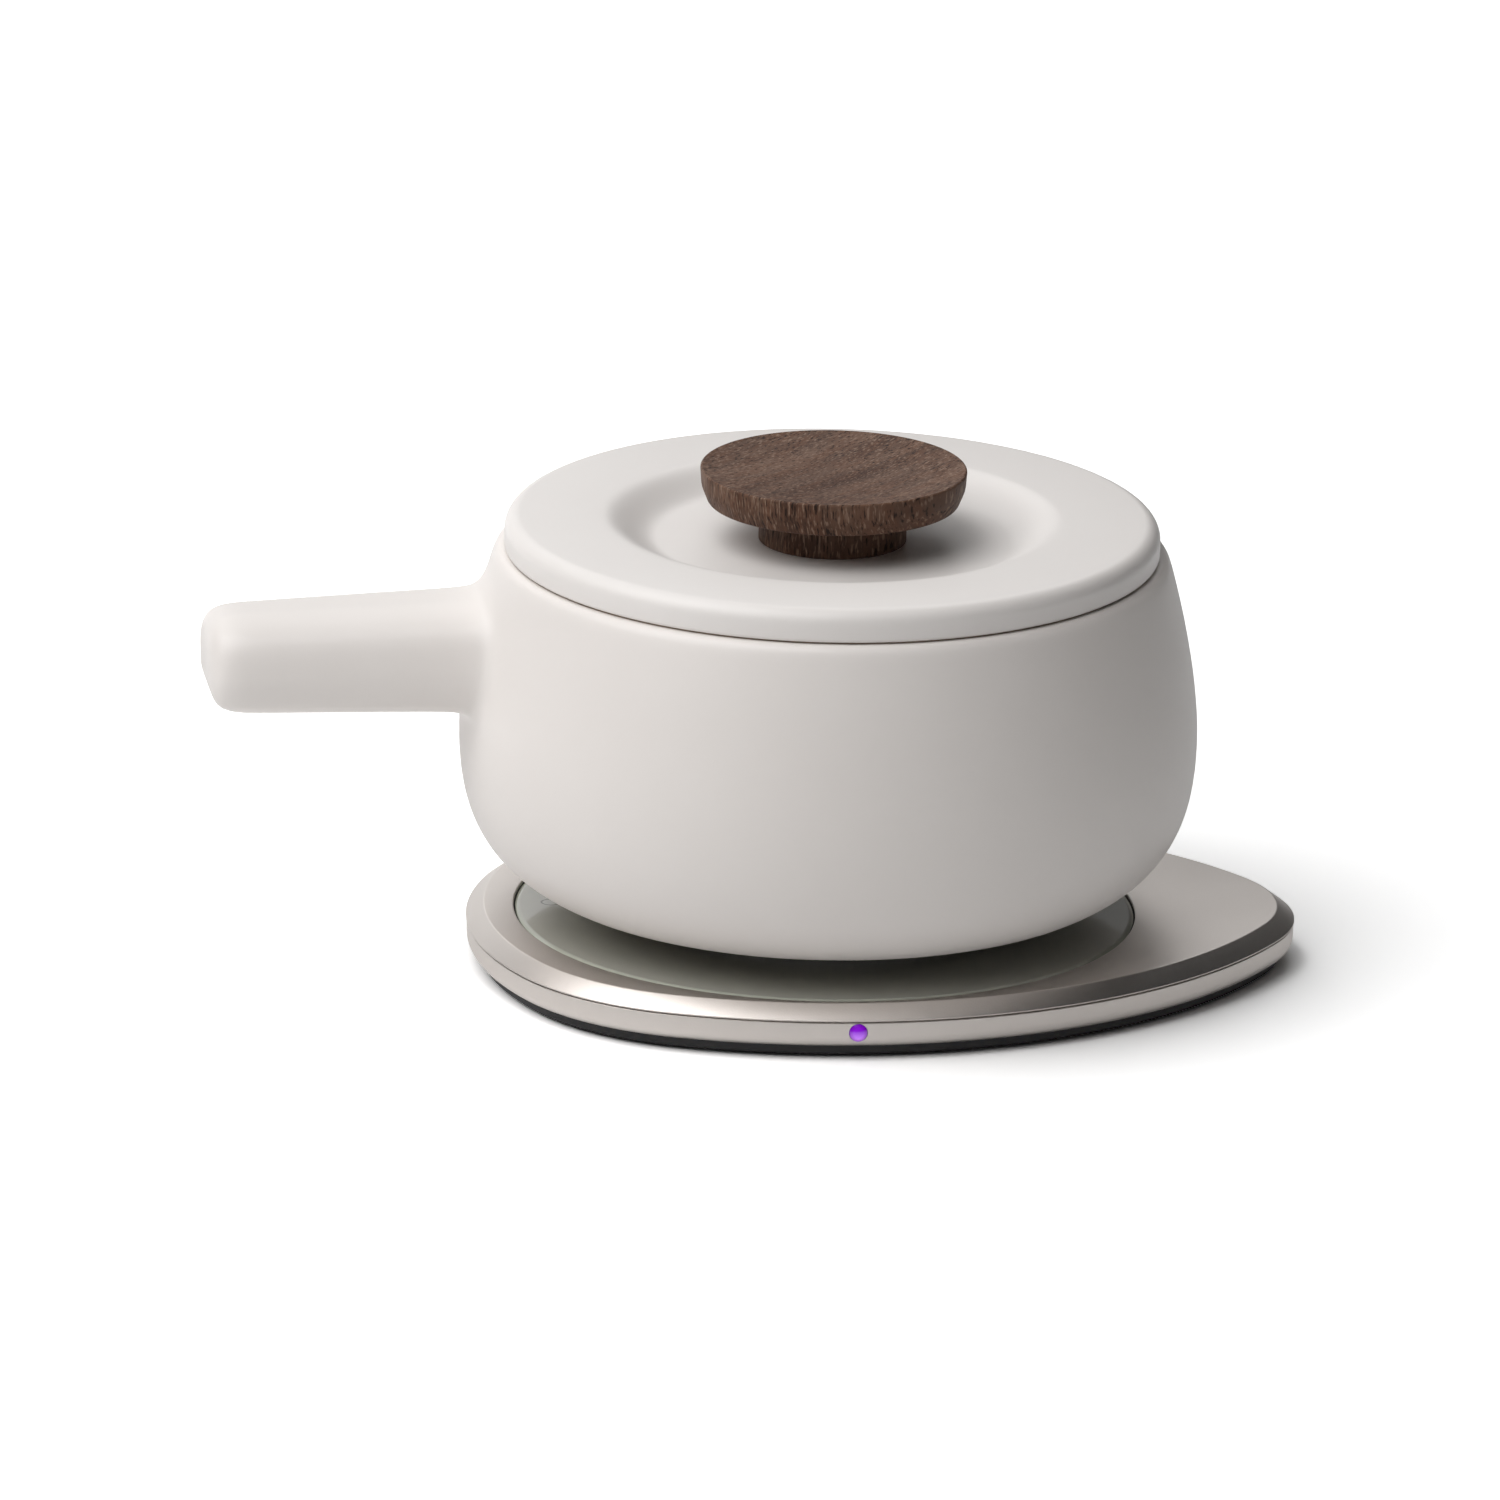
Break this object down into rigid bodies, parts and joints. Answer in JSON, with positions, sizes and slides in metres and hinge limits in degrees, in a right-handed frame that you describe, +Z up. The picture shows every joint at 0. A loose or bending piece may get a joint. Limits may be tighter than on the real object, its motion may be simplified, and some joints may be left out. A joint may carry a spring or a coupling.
{
  "type": "lidded saucepan on induction base",
  "caption": "Lidded ceramic saucepan with a stub handle and a turned wooden knob, standing on a thin egg-shaped induction base with a round glass plate.",
  "frame": {"origin": "centre of the footprint's bounding box on the floor, under the feet", "axes": "+Z up; +X along the base's long axis towards its narrow tip, away from the pan's handle; the status light is on the -Y edge"},
  "size_m": [0.2764, 0.185, 0.1293],
  "materials": {
    "satin_metal": "satin bead-blasted, warm nickel tone",
    "cooking_glass": "glossy light grey glass, opaque from behind",
    "dark_gasket": "matte",
    "black_plastic": "matte black moulded",
    "foot_rubber": "matte",
    "screw_steel": "zinc plated",
    "plain_aluminium": "plain",
    "ferrite": "matte dark grey",
    "carrier_plastic": "heat-resistant, natural",
    "copper": "enamelled copper wire",
    "brass_parts": "machined",
    "lead_sleeve": "glass-fibre sleeve",
    "mica": "pressed mica sheet",
    "silicone": "soft silicone",
    "seal_silicone": "soft brown-grey silicone",
    "circuit_board": "solder mask",
    "component_plastic": "moulded black",
    "capacitor_case": "moulded blue",
    "inlet_steel": "stamped steel",
    "pan_ceramic": "satin warm off-white glaze",
    "lid_ceramic": "satin warm off-white glaze",
    "plate_steel": "turned stainless",
    "walnut": "oiled walnut",
    "violet_light": "clear violet, lit from behind"
  },
  "bodies": {
    "base": {"top_cover": "satin_metal", "glass_plate": "cooking_glass", "glass_gasket": "dark_gasket", "rim_band": "satin_metal", "bottom_tray": "black_plastic", "rubber_feet": "foot_rubber", "tray_screws": "screw_steel", "shield_plate": "plain_aluminium", "ferrite_bars": "ferrite", "coil_carrier": "carrier_plastic", "induction_coil": "copper", "coil_leads": "lead_sleeve", "mica_sheet": "mica", "sensor_pad": "silicone", "temperature_sensor": "plain_aluminium", "control_board": "circuit_board", "board_screws": "screw_steel", "power_transistors": "component_plastic", "heat_sink": "plain_aluminium", "resonant_capacitor": "capacitor_case", "filter_choke": "copper", "controller_chip": "component_plastic", "coil_terminals": "brass_parts", "light_board": "circuit_board", "status_led": "violet_light", "status_light_lens": "violet_light", "light_cable": "lead_sleeve", "power_inlet": "inlet_steel"},
    "pan": {"pot": "pan_ceramic", "induction_plate": "plate_steel"},
    "lid": {"lid": "lid_ceramic", "lid_seal": "seal_silicone", "knob": "walnut", "knob_insert": "brass_parts", "knob_washer": "silicone", "knob_screw": "screw_steel"}
  },
  "joints": [
    {"name": "pot_lift", "type": "slide", "parent": "base", "child": "pan", "axis": [0, 0, 1], "range_m": [0, 0.12]},
    {"name": "lid_lift", "type": "slide", "parent": "pan", "child": "lid", "axis": [0, 0, 1], "range_m": [0, 0.08]}
  ]
}
